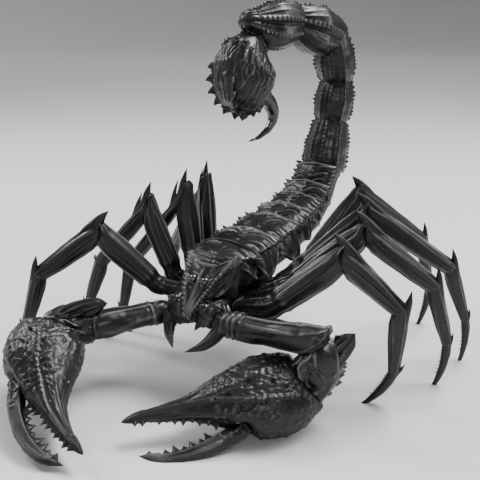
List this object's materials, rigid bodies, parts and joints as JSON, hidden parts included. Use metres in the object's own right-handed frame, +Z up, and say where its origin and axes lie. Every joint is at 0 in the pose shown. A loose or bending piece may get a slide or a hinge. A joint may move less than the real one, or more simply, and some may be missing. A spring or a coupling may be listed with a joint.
{
  "type": "scorpion",
  "caption": "Life-size still model of a black, heavy-clawed scorpion standing with open claws and its tail arched over its back.",
  "frame": {"origin": "on the floor under the centre of the animal's box", "axes": "+Z up, -Y the way the animal faces, +X its left side"},
  "size_m": [0.1272, 0.1526, 0.1217],
  "materials": {
    "shell": "glossy black shell with fine grain, wrinkles and beaded keels",
    "leg": "glossy black shell, finely pitted",
    "claw": "glossy black shell covered in rounded knobs",
    "jaw": "polished brown-black",
    "sting": "smooth polished black with a brown-black point",
    "eye": "mirror-smooth black",
    "comb": "satin brown-grey comb teeth",
    "membrane": "soft dark wrinkled joint skin"
  },
  "bodies": {
    "root": {"prosoma": "shell", "eye_left": "eye", "eye_right": "eye", "chelicera_left": "jaw", "chelicera_right": "jaw", "mesosoma_1": "shell", "mesosoma_2": "shell", "mesosoma_3": "shell", "mesosoma_4": "shell", "mesosoma_5": "shell", "mesosoma_6": "shell", "mesosoma_7": "shell", "pectines": "comb", "metasoma_1": "shell", "metasoma_2": "shell", "metasoma_3": "shell", "metasoma_4": "shell", "metasoma_5": "shell", "telson_vesicle": "shell", "telson_sting": "sting", "pedipalp_left_femur": "shell", "pedipalp_left_patella": "shell", "pedipalp_left_hand": "claw", "pedipalp_left_finger": "claw", "pedipalp_right_femur": "shell", "pedipalp_right_patella": "shell", "pedipalp_right_hand": "claw", "pedipalp_right_finger": "claw", "leg_left_1_femur": "leg", "leg_left_1_patella": "leg", "leg_left_1_tibia": "leg", "leg_left_1_tarsus": "leg", "leg_left_2_femur": "leg", "leg_left_2_patella": "leg", "leg_left_2_tibia": "leg", "leg_left_2_tarsus": "leg", "leg_left_3_femur": "leg", "leg_left_3_patella": "leg", "leg_left_3_tibia": "leg", "leg_left_3_tarsus": "leg", "leg_left_4_femur": "leg", "leg_left_4_patella": "leg", "leg_left_4_tibia": "leg", "leg_left_4_tarsus": "leg", "leg_right_1_femur": "leg", "leg_right_1_patella": "leg", "leg_right_1_tibia": "leg", "leg_right_1_tarsus": "leg", "leg_right_2_femur": "leg", "leg_right_2_patella": "leg", "leg_right_2_tibia": "leg", "leg_right_2_tarsus": "leg", "leg_right_3_femur": "leg", "leg_right_3_patella": "leg", "leg_right_3_tibia": "leg", "leg_right_3_tarsus": "leg", "leg_right_4_femur": "leg", "leg_right_4_patella": "leg", "leg_right_4_tibia": "leg", "leg_right_4_tarsus": "leg"}
  },
  "joints": []
}
